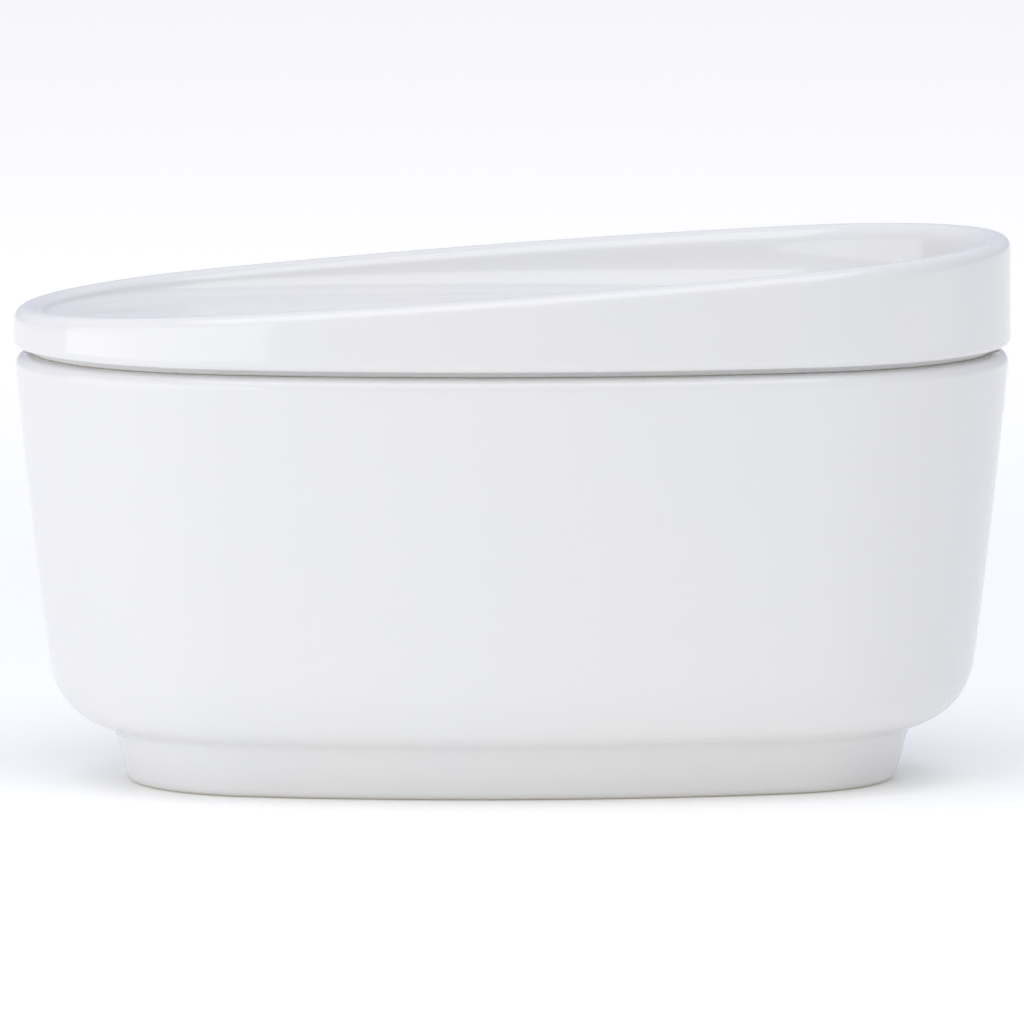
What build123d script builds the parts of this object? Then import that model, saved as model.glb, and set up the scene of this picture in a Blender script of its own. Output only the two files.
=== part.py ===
from build123d import *
from math import atan2, degrees, radians, tan
import os

# Lidded oval porcelain dish, in millimetres. +Z is up and the base stands on Z = 0.
# +X runs along the oval towards the end where the lid's rim is high.

# Oval plan, on the lid's lower outline, which is the widest of all
length = 130.0
width = 77.0
side_radius = 157.0

# Bowl, outside
bowl_height = 56.1
lid_overhang = 0.1
wall_draft = 6.4
foot_height = 7.0
corner_radius = 9.7
mouth_round = 1.6

# Foot
foot_inset = 14.8
foot_draft = 13.0
foot_round = 1.6
crease_round = 1.8
foot_ring = 5.0
recess_depth = 3.0
recess_draft = 10.0
recess_round = 1.5
ring_inner_round = 1.0

# Bowl, inside
wall = 4.5
bottom_thickness = 5.0
inner_corner_radius = 8.5
mouth_inner_round = 0.7

# Seat between bowl and lid
edge_gap = 0.85
seat_land = 1.0
flange_clearance = 0.5
flange_depth = 5.0
flange_thickness = 3.0
flange_round = 0.9
ceiling_round = 2.0

# Lid
plate_thickness = 3.5
dish_depth = 1.5
rim_climb = 9.15
rim_thickness = 3.7
lid_draft = 0.8
dish_draft = 3.0
cove_radius = 3.0
lid_edge_round = 1.0
rim_outer_round = 1.5
rim_inner_round = 1.2

# The end arcs follow from the long arcs, because all four meet at a tangent
half_length = length / 2
half_width = width / 2
end_radius = (2 * side_radius * half_width - half_width**2 - half_length**2) / (
    2 * (side_radius - half_length)
)
end_centre = half_length - end_radius
side_centre = side_radius - half_width
end_turn = degrees(atan2(side_centre, end_centre))
side_turn = 180 - 2 * end_turn

# Levels and insets that follow from the sizes above
level_tolerance = 0.01
wall_slope = tan(radians(wall_draft))
floor_level = recess_depth + bottom_thickness
edge_level = bowl_height + edge_gap
dish_level = edge_level + plate_thickness
low_rim_level = dish_level + dish_depth
mid_rim_level = low_rim_level + rim_climb / 2
above_rim = low_rim_level + 2 * rim_climb
flange_level = bowl_height - flange_depth
mouth_inset = lid_overhang + wall
body_inset = lid_overhang + (bowl_height - foot_height) * wall_slope
cavity_inset = mouth_inset + (bowl_height - floor_level) * wall_slope
flange_inset = mouth_inset + flange_clearance
flange_foot_inset = flange_inset + flange_depth * wall_slope
underside_inset = flange_foot_inset + flange_thickness + (edge_level - flange_level) * wall_slope
recess_inset = foot_inset + foot_ring + recess_depth * tan(radians(recess_draft))
foot_top = foot_height + corner_radius / 2
seat_inset = mouth_inset - mouth_inner_round - seat_land
dish_inset = rim_thickness + dish_depth * tan(radians(dish_draft))

# The rim's plane climbs along +X
rim_plane = Plane(
    origin=(0, 0, mid_rim_level),
    x_dir=(length, 0, rim_climb),
    z_dir=(-rim_climb, 0, length),
)


def oval(inset):
    # four tangent arcs, each moved inwards by the inset, closed to a face
    with BuildLine() as outline:
        CenterArc((end_centre, 0), end_radius - inset, -end_turn, 2 * end_turn)
        CenterArc((0, -side_centre), side_radius - inset, end_turn, side_turn)
        CenterArc((-end_centre, 0), end_radius - inset, 180 - end_turn, 2 * end_turn)
        CenterArc((0, side_centre), side_radius - inset, 180 + end_turn, side_turn)
    make_face(outline.edges())


def level_faces(part, level):
    # the part's horizontal faces at one height
    flat = part.faces().filter_by(Plane.XY)
    return flat.filter_by_position(Axis.Z, level - level_tolerance, level + level_tolerance)


def hollow(level, inset, mouth_level, draft, corner_round):
    # an oval space with a flat end, rounded into a wall that widens towards its mouth
    with BuildPart() as space:
        with BuildSketch(Plane.XY.offset(level)):
            oval(inset)
        extrude(amount=mouth_level - level, taper=-draft)
        fillet(level_faces(space, level).edges(), corner_round)
    return space.part


cavity = hollow(floor_level, cavity_inset, bowl_height, wall_draft, inner_corner_radius)
recess = hollow(recess_depth, recess_inset, 0, recess_draft, recess_round)
dish = hollow(dish_level, dish_inset, above_rim, dish_draft, cove_radius)
underside = hollow(edge_level, underside_inset, flange_level, wall_draft, ceiling_round)

with BuildPart() as bowl:
    # drafted body over a level underside, turned up from it by one large corner
    with BuildSketch(Plane.XY.offset(foot_height)):
        oval(body_inset)
    extrude(amount=bowl_height - foot_height, taper=-wall_draft)
    fillet(level_faces(bowl, foot_height).edges(), corner_radius)
    # foot, narrowing towards the base, its top buried in the body
    with BuildSketch():
        oval(foot_inset)
    extrude(amount=foot_top, taper=-foot_draft)
    crease = bowl.edges(Select.LAST).filter_by_position(Axis.Z, foot_height, foot_top)
    fillet(crease, crease_round)
    fillet(level_faces(bowl, 0).edges(), foot_round)
    # cavity, its wall parallel to the outer one
    add(cavity, mode=Mode.SUBTRACT)
    # recess under the base, which leaves the ring that the bowl stands on
    add(recess, mode=Mode.SUBTRACT)
    fillet(level_faces(bowl, 0).face().inner_wires()[0].edges(), ring_inner_round)
    # rounded lips each side of the level land that carries the lid
    fillet(level_faces(bowl, bowl_height).face().outer_wire().edges(), mouth_round)
    fillet(level_faces(bowl, bowl_height).face().inner_wires()[0].edges(), mouth_inner_round)
bowl.part.label = "bowl"

with BuildPart() as lid:
    # outer wall, cut off along the climbing rim
    with BuildSketch(Plane.XY.offset(edge_level)):
        oval(0)
    extrude(amount=above_rim - edge_level, taper=lid_draft)
    split(bisect_by=rim_plane, keep=Keep.BOTTOM)
    fillet(level_faces(lid, edge_level).edges(), lid_edge_round)
    add(dish, mode=Mode.SUBTRACT)
    fillet(lid.faces().filter_by(rim_plane).face().outer_wire().edges(), rim_outer_round)
    fillet(lid.faces().filter_by(rim_plane).face().inner_wires()[0].edges(), rim_inner_round)
    # seat ring, which stands on the bowl's land and keeps the edges apart
    with BuildSketch(Plane.XY.offset(bowl_height)):
        oval(seat_inset)
    extrude(amount=edge_gap)
    # flange that drops into the mouth, parallel to the cavity's wall
    with BuildSketch(Plane.XY.offset(flange_level)):
        oval(flange_foot_inset)
    extrude(amount=flange_depth, taper=-wall_draft)
    fillet(level_faces(lid, flange_level).edges(), flange_round)
    # hollow inside the flange, up to the plate
    add(underside, mode=Mode.SUBTRACT)
    fillet(level_faces(lid, flange_level).face().inner_wires()[0].edges(), flange_round)
lid.part.label = "lid"

os.makedirs("parts", exist_ok=True)
export_step(bowl.part, "parts/bowl.step")
export_step(lid.part, "parts/lid.step")
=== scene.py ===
import math

import bmesh
import bpy
from mathutils import Matrix, Vector


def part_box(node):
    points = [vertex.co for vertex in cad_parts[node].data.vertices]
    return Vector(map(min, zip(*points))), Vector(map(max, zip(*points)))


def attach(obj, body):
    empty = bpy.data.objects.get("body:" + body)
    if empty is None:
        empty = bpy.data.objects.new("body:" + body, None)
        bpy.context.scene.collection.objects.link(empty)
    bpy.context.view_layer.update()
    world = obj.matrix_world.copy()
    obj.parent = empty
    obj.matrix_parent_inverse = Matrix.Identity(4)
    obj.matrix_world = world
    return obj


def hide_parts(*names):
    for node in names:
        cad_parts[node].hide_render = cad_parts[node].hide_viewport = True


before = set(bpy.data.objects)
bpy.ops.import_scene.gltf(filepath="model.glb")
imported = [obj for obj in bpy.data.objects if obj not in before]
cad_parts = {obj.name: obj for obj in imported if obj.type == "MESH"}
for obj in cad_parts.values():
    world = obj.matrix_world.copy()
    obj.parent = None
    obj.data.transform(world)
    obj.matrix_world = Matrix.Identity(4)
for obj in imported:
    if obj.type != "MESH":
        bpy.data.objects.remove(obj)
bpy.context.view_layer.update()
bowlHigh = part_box("bowl")[1]
lidLow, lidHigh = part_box("lid")

mm = 0.001
tiny = 0.01 * mm


plan = {
    "halfLength": lidHigh.x,
    "halfWidth": 38.5 * mm,
    "sideRadius": 157 * mm,
    "endSteps": 30,
    "sideSteps": 18,
    "islandInset": 27 * mm,  # inside this, a floor is filled as a grid
    "smoothLevels": 1,
}


def ovalArcs():
    # centre, radius, turn and steps of the four tangent arcs, from the right end anticlockwise
    a, b, side = plan["halfLength"], plan["halfWidth"], plan["sideRadius"]
    end = (2 * side * b - b * b - a * a) / (2 * (side - a))
    endCentre, sideCentre = a - end, side - b
    turn = math.atan2(sideCentre, endCentre)
    rest = math.pi - 2 * turn
    return [
        (Vector((endCentre, 0, 0)), end, 2 * turn, plan["endSteps"]),
        (Vector((0, -sideCentre, 0)), side, rest, plan["sideSteps"]),
        (Vector((-endCentre, 0, 0)), end, 2 * turn, plan["endSteps"]),
        (Vector((0, sideCentre, 0)), side, rest, plan["sideSteps"]),
    ]


arcs = ovalArcs()


def insetOf(point):
    # how far a point lies inside the widest outline
    x, y = abs(point.x), abs(point.y)
    endCentre, endRadius = arcs[0][0], arcs[0][1]
    away = Vector((x - endCentre.x, y))
    if math.atan2(away.y, away.x) < arcs[0][2] / 2:
        return endRadius - away.length
    return arcs[1][1] - Vector((x, y - arcs[1][0].y)).length


def deselectAll():
    if bpy.context.mode != "OBJECT":
        bpy.ops.object.mode_set(mode="OBJECT")
    bpy.ops.object.select_all(action="DESELECT")


def selectVerts(obj, test):
    # in edit mode, selects the vertices that pass the test, and what lies between them
    shape = bmesh.from_edit_mesh(obj.data)
    bpy.ops.mesh.select_mode(type="VERT")
    for vert in shape.verts:
        vert.select = test(vert.co)
    shape.select_flush_mode()
    bmesh.update_edit_mesh(obj.data)


def roundedCorners(corners):
    # corners are (inset, level, radius, steps); a radius turns the corner into an arc
    path = []
    for i, (d, z, radius, steps) in enumerate(corners):
        here = Vector((d, z))
        if radius == 0:
            path.append(here)
            continue
        back = (Vector(corners[i - 1][:2]) - here).normalized()
        ahead = (Vector(corners[i + 1][:2]) - here).normalized()
        half = back.angle(ahead) / 2
        centre = here + (back + ahead).normalized() * (radius / math.sin(half))
        start = here + back * (radius / math.tan(half)) - centre
        swing = math.pi - 2 * half
        if back.x * ahead.y - back.y * ahead.x > 0:
            swing = -swing
        for k in range(steps + 1):
            turn = Matrix.Rotation(swing * k / steps, 2)
            path.append(centre + turn @ start)
    return path


def drawProfile(name, path):
    # one vertex, extruded from point to point along the wall's section
    deselectAll()
    bpy.ops.mesh.primitive_plane_add(size=mm)
    obj = bpy.context.object
    obj.name = name
    obj.data.name = name
    bpy.ops.object.mode_set(mode="EDIT")
    bpy.ops.mesh.merge(type="CENTER")
    start = arcs[0][0] + Matrix.Rotation(-arcs[0][2] / 2, 3, "Z") @ Vector((1, 0, 0)) * arcs[0][1]
    inward = (arcs[0][0] - start).normalized()
    points = [start + inward * p.x + Vector((0, 0, p.y)) for p in path]
    bpy.ops.transform.translate(value=points[0])
    for before, after in zip(points, points[1:]):
        bpy.ops.mesh.extrude_vertices_move(TRANSFORM_OT_translate={"value": after - before})
    return obj


def spinRound(obj):
    # the section is spun about each arc's centre in turn, until it meets itself
    bpy.ops.mesh.select_all(action="SELECT")
    for centre, radius, turn, steps in arcs:
        # a spin runs clockwise, so its axis points down
        bpy.ops.mesh.spin(steps=steps, angle=turn, center=centre, axis=(0, 0, -1))
    bpy.ops.mesh.select_all(action="SELECT")
    bpy.ops.mesh.remove_doubles(threshold=tiny)


def fillIsland(obj, level):
    # closes the flat middle of a floor with rows of four-sided faces
    selectVerts(obj, lambda p: abs(p.z - level) < tiny and abs(insetOf(p) - plan["islandInset"]) < tiny)
    bpy.ops.mesh.fill_grid(span=plan["endSteps"])


def finishShape(obj):
    # normals out, merged, rounded by subdivision, then back in object mode
    bpy.ops.mesh.select_all(action="SELECT")
    bpy.ops.mesh.normals_make_consistent(inside=False)
    bpy.ops.object.mode_set(mode="OBJECT")
    smooth = obj.modifiers.new("smooth", "SUBSURF")
    smooth.levels = plan["smoothLevels"]
    smooth.render_levels = plan["smoothLevels"]
    bpy.ops.object.modifier_apply(modifier=smooth.name)
    bpy.ops.object.shade_smooth()
    bpy.ops.object.origin_set(type="ORIGIN_CURSOR")
    bpy.ops.object.transform_apply(location=True, rotation=True, scale=True)


bowlShape = {
    "rim": bowlHigh.z,
    "overhang": 0.1 * mm,
    "wallDraft": math.radians(6.4),
    "wallBow": 0.15 * mm,
    "mouthRound": 1.6 * mm,
    "wall": 4.5 * mm,
    "mouthInnerRound": 0.7 * mm,
    "floor": 8 * mm,
    "innerCorner": 8.5 * mm,
    "underside": 7 * mm,
    "corner": 9.7 * mm,
    "footInset": 14.8 * mm,
    "footDraft": math.radians(13),
    "footRound": 1.6 * mm,
    "creaseBlend": 2.2 * mm,
    "footRing": 5 * mm,
    "recess": 3 * mm,
    "recessDraft": math.radians(10),
    "recessRound": 1.5 * mm,
    "ringInnerRound": 1 * mm,
    "recessLoop": 1 * mm,  # how far inside halfway the recess's middle loop lies
    "smallSteps": 4,
    "edgeSteps": 5,
    "cornerSteps": 8,
    "wallRows": 12,
    "bareRing": 0.3 * mm,  # the bare body reaches this far up from the base
    "bareLand": 0.05 * mm,  # and this far down from the land
}


def bowlProfile(s):
    slope = math.tan(s["wallDraft"])
    footSlope = math.tan(s["footDraft"])
    island = plan["islandInset"]
    ringInner = s["footInset"] + s["footRing"]
    recessTop = ringInner + s["recess"] * math.tan(s["recessDraft"])
    creaseInset = s["footInset"] - s["underside"] * footSlope
    # from the recess out to the foot
    path = roundedCorners([
        (island, s["recess"], 0, 0),
        ((island + recessTop) / 2 + s["recessLoop"], s["recess"], 0, 0),
        (recessTop, s["recess"], s["recessRound"], s["smallSteps"]),
        (ringInner, 0, s["ringInnerRound"], s["smallSteps"]),
        ((s["footInset"] + ringInner) / 2, 0, 0, 0),
        (s["footInset"], 0, s["footRound"], s["edgeSteps"]),
        (creaseInset, s["underside"], 0, 0),
    ])[:-1]
    # the large lower corner, which starts where the foot's wall runs into it
    centreLevel = s["underside"] + s["corner"]
    wallThere = s["overhang"] + (s["rim"] - centreLevel) * slope
    centreInset = wallThere + s["corner"] / math.cos(s["wallDraft"])
    startTurn = math.asin((centreInset - creaseInset) / s["corner"])
    creaseLevel = centreLevel - s["corner"] * math.cos(startTurn)
    path.append(Vector((creaseInset + s["creaseBlend"] * footSlope, creaseLevel - s["creaseBlend"])))
    path.append(Vector((creaseInset, creaseLevel)))
    endTurn = math.pi / 2 - s["wallDraft"]
    firstTurn = startTurn + s["creaseBlend"] / s["corner"]
    for k in range(s["cornerSteps"] + 1):
        turn = firstTurn + (endTurn - firstTurn) * k / s["cornerSteps"]
        path.append(Vector((
            centreInset - s["corner"] * math.sin(turn),
            centreLevel - s["corner"] * math.cos(turn),
        )))
    # the wall, a touch fuller at mid height than a straight draft
    low, high = path[-1].y, s["rim"] - 2 * s["mouthRound"]
    rows = s["wallRows"]
    for k in range(1, rows + 1):
        level = low + (high - low) * k / rows
        bow = s["wallBow"] * 4 * (k / rows) * (1 - k / rows)
        path.append(Vector((s["overhang"] + (s["rim"] - level) * slope - bow, level)))
    # over the land, down the cavity and across its floor
    mouth = s["overhang"] + s["wall"]
    cavityFoot = mouth + (s["rim"] - s["floor"]) * slope
    cornerTop = s["floor"] + s["innerCorner"]
    inner = [(path[-1].x, path[-1].y, 0, 0)]
    inner.append((s["overhang"], s["rim"], s["mouthRound"], s["edgeSteps"]))
    inner.append(((s["overhang"] + mouth) / 2, s["rim"], 0, 0))
    inner.append((mouth, s["rim"], s["mouthInnerRound"], s["smallSteps"]))
    for k in range(1, rows):
        level = s["rim"] + (cornerTop - s["rim"]) * k / rows
        inner.append((mouth + (s["rim"] - level) * slope, level, 0, 0))
    inner.append((cavityFoot, s["floor"], s["innerCorner"], s["cornerSteps"]))
    inner.append(((island + cavityFoot + s["innerCorner"]) / 2, s["floor"], 0, 0))
    inner.append((island, s["floor"], 0, 0))
    path += roundedCorners(inner)[1:]
    return path


def makeBowl(s):
    obj = drawProfile("porcelainBowl", bowlProfile(s))
    spinRound(obj)
    fillIsland(obj, s["recess"])
    fillIsland(obj, s["floor"])
    finishShape(obj)
    print("bowl", len(obj.data.polygons), "faces")
    return obj


lidShape = {
    "flange": lidLow.z,
    "land": bowlHigh.z,
    "edgeGap": 0.75 * mm,
    "edgeRound": 1 * mm,
    "seatInset": 2.3 * mm,
    "seatRound": 0.15 * mm,
    "flangeInset": 5.1 * mm,
    "flangeDraft": math.radians(6.4),
    "flangeThickness": 3 * mm,
    "flangeRound": 0.9 * mm,
    "ceilingRound": 2 * mm,
    "plate": 3.6 * mm,
    "dishDepth": 1.5 * mm,
    "climb": 9.15 * mm,
    "rimThickness": 3.7 * mm,
    "wallDraft": math.radians(0.8),
    "rimOuterRound": 1.6 * mm,
    "rimInnerRound": 2.1 * mm,
    "dishDraft": math.radians(8),
    "cove": 4.5 * mm,
    "easing": 1.3,  # above 1, the dish's wall takes up more of the climb in its lower half
    "seatSteps": 3,
    "flangeSteps": 4,
    "edgeSteps": 5,
    "rimSteps": 6,
    "rimInnerSteps": 7,
    "wallRows": 4,
    "bareSeat": 0.1 * mm,  # the bare body reaches this far each way from the land
}


def lidLevels(s):
    edge = s["land"] + s["edgeGap"]
    floor = edge + s["plate"]
    rim = floor + s["dishDepth"] + s["climb"] / 2
    return edge, floor, rim


def lidProfile(s):
    # the section halfway along, where the rim is at its middle height
    edge, floor, rim = lidLevels(s)
    island = plan["islandInset"]
    slope = math.tan(s["flangeDraft"])
    footInset = s["flangeInset"] + (s["land"] - s["flange"]) * slope
    innerFoot = footInset + s["flangeThickness"]
    ceiling = innerFoot + (edge - s["flange"]) * slope
    rimOuter = (rim - edge) * math.tan(s["wallDraft"])
    dishFoot = s["rimThickness"] + (rim - floor) * math.tan(s["dishDraft"])
    corners = [
        (island, edge, 0, 0),
        ((island + ceiling) / 2, edge, 0, 0),
        (ceiling, edge, s["ceilingRound"], s["flangeSteps"]),
        (innerFoot, s["flange"], s["flangeRound"], s["flangeSteps"]),
        ((innerFoot + footInset) / 2, s["flange"], 0, 0),
        (footInset, s["flange"], s["flangeRound"], s["flangeSteps"]),
        ((footInset + s["flangeInset"]) / 2, (s["flange"] + s["land"]) / 2, 0, 0),
        (s["flangeInset"], s["land"], 2 * s["seatRound"], s["seatSteps"]),
        ((s["flangeInset"] + s["seatInset"]) / 2, s["land"], 0, 0),
        (s["seatInset"], s["land"], s["seatRound"], s["seatSteps"]),
        (s["seatInset"], edge, s["seatRound"], s["seatSteps"]),
        ((s["seatInset"] + s["edgeRound"]) / 2, edge, 0, 0),
        (0, edge, s["edgeRound"], s["edgeSteps"]),
    ]
    wallFrom, wallTo = edge + 2 * s["edgeRound"], rim - 2 * s["rimOuterRound"]
    for k in range(s["wallRows"] + 1):
        level = wallFrom + (wallTo - wallFrom) * k / s["wallRows"]
        corners.append(((level - edge) * math.tan(s["wallDraft"]), level, 0, 0))
    corners.append((rimOuter, rim, s["rimOuterRound"], s["rimSteps"]))
    corners.append((s["rimThickness"], rim, s["rimInnerRound"], s["rimInnerSteps"]))
    corners.append((dishFoot, floor, s["cove"], s["rimSteps"]))
    corners.append(((dishFoot + s["cove"] + island) / 2, floor, 0, 0))
    corners.append((island, floor, 0, 0))
    return roundedCorners(corners)


def tiltShare(s, p):
    # how far a loop of the lid follows the climbing rim: 0 at the edge and the floor, 1 on the rim
    edge, floor, rim = lidLevels(s)
    if p.x < s["rimThickness"] / 2:
        low, high = edge + s["edgeRound"], rim - s["rimOuterRound"]
        return min(1, max(0, (p.y - low) / (high - low)))
    if p.y < floor + tiny:
        return 0
    return 1 - ((rim - p.y) / (rim - floor)) ** s["easing"]


def tiltLoops(s, path):
    # each loop is turned about the middle by its share of the climb, then stretched back to length
    angle = math.atan(s["climb"] / (2 * plan["halfLength"]))
    for p in path:
        share = tiltShare(s, p)
        if share == 0:
            continue
        selectVerts(bpy.context.object, lambda v: abs(v.z - p.y) < tiny and abs(insetOf(v) - p.x) < tiny)
        middle = (0, 0, p.y)
        bpy.ops.transform.rotate(value=angle * share, orient_axis="Y", center_override=middle)
        bpy.ops.transform.resize(value=(1 / math.cos(angle * share), 1, 1), center_override=middle)


def makeLid(s):
    path = lidProfile(s)
    obj = drawProfile("porcelainLid", path)
    spinRound(obj)
    edge, floor, rim = lidLevels(s)
    fillIsland(obj, edge)
    fillIsland(obj, floor)
    tiltLoops(s, path)
    finishShape(obj)
    print("lid", len(obj.data.polygons), "faces")
    return obj


class Wire:
    # a shader socket that takes part in sums; node() adds any other node
    def __init__(self, tree, socket=None):
        self.tree = tree
        self.socket = socket

    def node(self, kind, settings, inputs, output=0):
        made = self.tree.nodes.new(kind)
        for key, value in settings.items():
            setattr(made, key, value)
        for key, value in inputs.items():
            if isinstance(value, Wire):
                self.tree.links.new(value.socket, made.inputs[key])
            else:
                made.inputs[key].default_value = value
        return Wire(self.tree, made.outputs[output] if made.outputs else None)

    def sum(self, operation, first, second):
        return self.node("ShaderNodeMath", {"operation": operation}, {0: first, 1: second})

    def __add__(self, other):
        return self.sum("ADD", self, other)

    def __sub__(self, other):
        return self.sum("SUBTRACT", self, other)

    def __rsub__(self, other):
        return self.sum("SUBTRACT", other, self)

    def __mul__(self, other):
        return self.sum("MULTIPLY", self, other)

    __radd__ = __add__
    __rmul__ = __mul__

    def fade(self, start, end):
        # 0 at start, 1 at end, eased at both
        settings = {"interpolation_type": "SMOOTHSTEP"}
        return self.node("ShaderNodeMapRange", settings, {0: self, 1: start, 2: end})

    def noise(self, place, scale, detail):
        return self.node("ShaderNodeTexNoise", {}, {"Vector": place, "Scale": scale, "Detail": detail})

    def mix(self, share, first, second, how="MIX"):
        # colours, blended or added by the share
        settings = {"data_type": "RGBA", "blend_type": how}
        return self.node("ShaderNodeMix", settings, {0: share, 6: first, 7: second}, 2)


glaze = {
    "cool": (0.804, 0.807, 0.809, 1),
    "warm": (0.814, 0.810, 0.802, 1),
    "bare": (0.80, 0.775, 0.735, 1),
    "bareDark": (0.72, 0.685, 0.635, 1),
    "speck": (0.42, 0.38, 0.33, 1),
    # scale and detail of each noise
    "cloud": (34, 2),
    "mottle": (420, 3),
    "ripple": (150, 1),
    "peel": (1300, 0),
    "grain": (5200, 3),
    "mottleShare": 0.3,
    "toneFrom": 0.35,  # the drift's values over which cool turns to warm
    "toneTo": 0.65,
    "speckScale": 62,  # one small iron speck to a cell, and few cells have one
    "speckSize": 0.010,
    "rippleHeight": 0.010 * mm,
    "peelHeight": 0.0005 * mm,
    "refraction": 1.56,
    "gloss": 0.06,
    "glossChange": 0.05,
    "grainFrom": 0.4,  # the grain's values over which dark turns to pale
    "grainTo": 0.65,
    "grainHeight": 0.010 * mm,
    "bumpStrength": 0.6,
    "bareRoughness": 0.72,
    "wipeWander": 0.35 * mm,  # how far the wiped edge of the glaze strays
    "wipeEdge": 0.06 * mm,
}


def makePorcelain(name, bands, s):
    # bands are the levels between which the glaze was wiped off and the fired body is bare
    material = bpy.data.materials.new(name)
    material.use_nodes = True
    tree = material.node_tree
    tree.nodes.clear()
    wire = Wire(tree)
    place = wire.node("ShaderNodeTexCoord", {}, {}, "Object")
    level = wire.node("ShaderNodeSeparateXYZ", {}, {0: place}, "Z")
    cloud = wire.noise(place, *s["cloud"])
    mottle = wire.noise(place, *s["mottle"])
    ripple = wire.noise(place, *s["ripple"])
    peel = wire.noise(place, *s["peel"])
    grain = wire.noise(place, *s["grain"])
    # where the body is bare, inside a slightly uneven edge
    wiped = level + (mottle - 0.5) * s["wipeWander"]
    bare = 0
    for low, high in bands:
        below = wiped.fade(low - s["wipeEdge"], low + s["wipeEdge"])
        above = wiped.fade(high - s["wipeEdge"], high + s["wipeEdge"])
        bare = bare + below * (1 - above)
    # two whites, drifting into each other, with a few specks
    drift = cloud * (1 - s["mottleShare"]) + mottle * s["mottleShare"]
    tone = wire.mix(drift.fade(s["toneFrom"], s["toneTo"]), s["cool"], s["warm"])
    cell = {"Vector": place, "Scale": s["speckScale"]}
    away = wire.node("ShaderNodeTexVoronoi", {}, cell, "Distance")
    tone = wire.mix(1 - away.fade(s["speckSize"] / 2, s["speckSize"]), tone, s["speck"])
    fired = wire.mix(grain.fade(s["grainFrom"], s["grainTo"]), s["bareDark"], s["bare"])
    tone = wire.mix(bare, tone, fired)
    shine = s["gloss"] + cloud * s["glossChange"]
    roughness = shine * (1 - bare) + bare * s["bareRoughness"]
    # long soft waves, fine orange peel, and grain on the bare body
    height = ripple * s["rippleHeight"] + peel * s["peelHeight"] + bare * grain * s["grainHeight"]
    bump = {"Height": height, "Distance": 1, "Strength": s["bumpStrength"]}
    normal = wire.node("ShaderNodeBump", {}, bump)
    surface = wire.node("ShaderNodeBsdfPrincipled", {}, {
        "Base Color": tone,
        "Roughness": roughness,
        "Normal": normal,
        "IOR": s["refraction"],
    })
    wire.node("ShaderNodeOutputMaterial", {}, {"Surface": surface})
    print("material", name, "with", len(tree.nodes), "nodes")
    return material


def dress(obj, material):
    obj.data.materials.clear()
    obj.data.materials.append(material)


bowl = makeBowl(bowlShape)
lid = makeLid(lidShape)
# the ring, the land and the seat, where the glaze is wiped off
base, land, past = 0, bowlHigh.z, 1 * mm
bareRing = (base - past, base + bowlShape["bareRing"])
bareLand = (land - bowlShape["bareLand"], land + past)
bareSeat = (land - lidShape["bareSeat"], land + lidShape["bareSeat"])
dress(bowl, makePorcelain("bowlPorcelain", [bareRing, bareLand], glaze))
dress(lid, makePorcelain("lidPorcelain", [bareSeat], glaze))
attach(bowl, "bowl")
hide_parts("bowl")
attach(lid, "lid")
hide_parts("lid")


shot = {
    "distance": 1.88,
    "azimuth": math.radians(-2.3),
    "elevation": math.radians(6.4),
    "aim": (-0.05 * mm, 0, 34.83 * mm),
    "frameWidth": 133.36 * mm,
    "clipNear": 0.1,  # as shares of the distance
    "clipFar": 20,
}


def makeCamera(s):
    deselectAll()
    around = Vector((
        math.sin(s["azimuth"]) * math.cos(s["elevation"]),
        -math.cos(s["azimuth"]) * math.cos(s["elevation"]),
        math.sin(s["elevation"]),
    ))
    bpy.ops.object.camera_add(location=Vector(s["aim"]) + around * s["distance"])
    camera = bpy.context.object
    camera.name = "camera"
    camera.rotation_euler = around.to_track_quat("Z", "Y").to_euler()
    camera.data.lens = camera.data.sensor_width * s["distance"] / s["frameWidth"]
    camera.data.clip_start = s["distance"] * s["clipNear"]
    camera.data.clip_end = s["distance"] * s["clipFar"]
    bpy.context.scene.camera = camera
    print("camera", s["distance"], "m away")


makeCamera(shot)
bpy.context.scene.view_settings.view_transform = "Standard"


studio = {
    "floorRadius": 7,
    "floorCorners": 96,
    "floorWhite": (0.97, 0.97, 0.97, 1),
    "floorRoughness": 0.9,
    "floorSpecular": 0.1,
    # the floor greys towards the front, so that less light comes up from there
    "frontGrey": (0.64, 0.64, 0.64, 1),
    "frontFrom": -0.12,
    "frontTo": -0.5,
    # painted light: the floor glows a little, and more further out, and so lights the object from below
    "floorGlow": (0.095, 0.094, 0.08),
    "farGlow": (0.23, 0.22, 0.185),
    "farFrom": 0.1,
    "farTo": 0.7,
    "ambient": (0.25, 0.265, 0.31, 1),
    # light from above, behind, the front and the left: its tint, the way it comes from,
    # and where it starts and is full, as shares of that way
    "sources": [
        ((0.27, 0.275, 0.33, 1), (0, 0, 1), 0.3, 0.95),
        ((0.36, 0.365, 0.42, 1), (0, 1, 0), 0.1, 0.8),
        ((0.345, 0.33, 0.295, 1), (0, -1, 0), 0.1, 0.8),
        ((0.05, 0.04, 0.04, 1), (-1, 0, 0), 0.1, 0.8),
    ],
    # place, aim, width, height, watts and tint of the lit panels
    "lamps": [
        ("leftPanel", (-0.494, -0.241, 0.13), (0, 0, 0.13), 0.92, 0.26, 0.86, (1, 1, 1)),
        ("rightPanel", (0.577, -0.165, 0.13), (0, 0, 0.13), 0.58, 0.26, 0.10, (1, 1, 1)),
        ("topPanel", (0, -0.3, 0.87), (0, 0, 0), 1, 0.8, 3.6, (1, 1, 0.98)),
    ],
}


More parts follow.
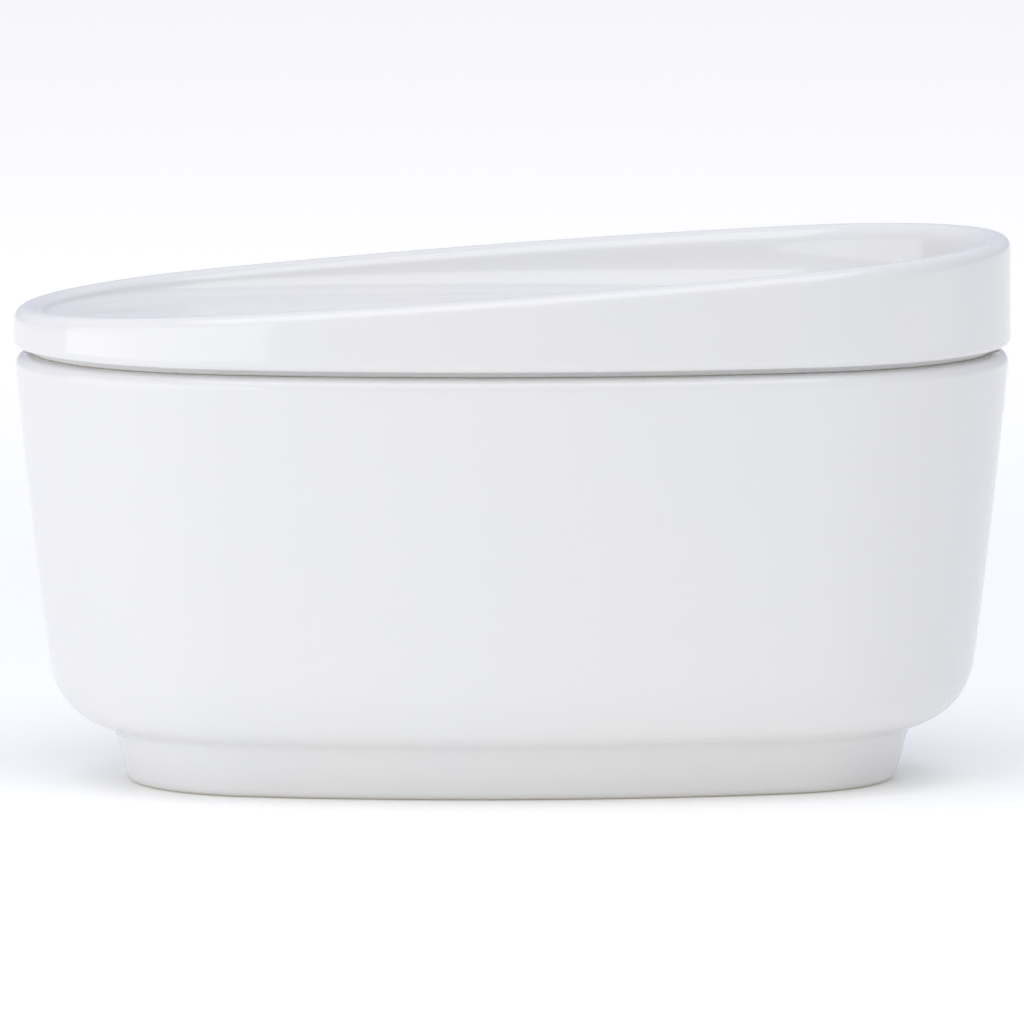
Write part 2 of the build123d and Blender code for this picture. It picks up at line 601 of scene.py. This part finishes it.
def makeFloor(s):
    deselectAll()
    size = {"vertices": s["floorCorners"], "radius": s["floorRadius"]}
    bpy.ops.mesh.primitive_circle_add(fill_type="NGON", **size)
    floor = bpy.context.object
    floor.name = "floor"
    material = bpy.data.materials.new("floorWhite")
    material.use_nodes = True
    tree = material.node_tree
    tree.nodes.clear()
    wire = Wire(tree)
    place = wire.node("ShaderNodeTexCoord", {}, {}, "Object")
    reach = wire.node("ShaderNodeVectorMath", {"operation": "LENGTH"}, {0: place}, "Value")
    depth = wire.node("ShaderNodeSeparateXYZ", {}, {0: place}, "Y")
    front = depth.fade(s["frontFrom"], s["frontTo"])
    near, far = (*s["floorGlow"], 1), (*s["farGlow"], 1)
    # painted light: the floor's glow, none of it at the front, though the floor is no lamp
    glow = wire.mix(reach.fade(s["farFrom"], s["farTo"]) * (1 - front), near, far, "ADD")
    surface = wire.node("ShaderNodeBsdfPrincipled", {}, {
        "Base Color": wire.mix(front, s["floorWhite"], s["frontGrey"]),
        "Roughness": s["floorRoughness"],
        "Specular IOR Level": s["floorSpecular"],
        "Emission Color": glow,
        "Emission Strength": 1,
    })
    wire.node("ShaderNodeOutputMaterial", {}, {"Surface": surface})
    dress(floor, material)
    print("floor", 2 * s["floorRadius"], "m across")


def makeWorld(s):
    world = bpy.data.worlds.new("studio")
    bpy.context.scene.world = world
    world.use_nodes = True
    tree = world.node_tree
    tree.nodes.clear()
    wire = Wire(tree)
    ray = wire.node("ShaderNodeTexCoord", {}, {}, "Generated")
    tone = s["ambient"]
    for tint, way, start, full in s["sources"]:
        dot = {"operation": "DOT_PRODUCT"}
        share = wire.node("ShaderNodeVectorMath", dot, {0: ray, 1: way}, "Value")
        tone = wire.mix(share.fade(start, full), tone, tint, "ADD")
    light = wire.node("ShaderNodeBackground", {}, {"Color": tone, "Strength": 1})
    wire.node("ShaderNodeOutputWorld", {}, {"Surface": light})
    print("world light from", len(s["sources"]), "sides")


def makeLamps(s):
    for name, place, aim, width, height, watts, tint in s["lamps"]:
        deselectAll()
        bpy.ops.object.light_add(type="AREA", location=place)
        lamp = bpy.context.object
        lamp.name = name
        lamp.rotation_euler = (Vector(place) - Vector(aim)).to_track_quat("Z", "Y").to_euler()
        lamp.data.shape = "RECTANGLE"
        lamp.data.size = width
        lamp.data.size_y = height
        lamp.data.energy = watts
        lamp.data.color = tint
    print("lamps", len(s["lamps"]))


makeFloor(studio)
makeWorld(studio)
makeLamps(studio)
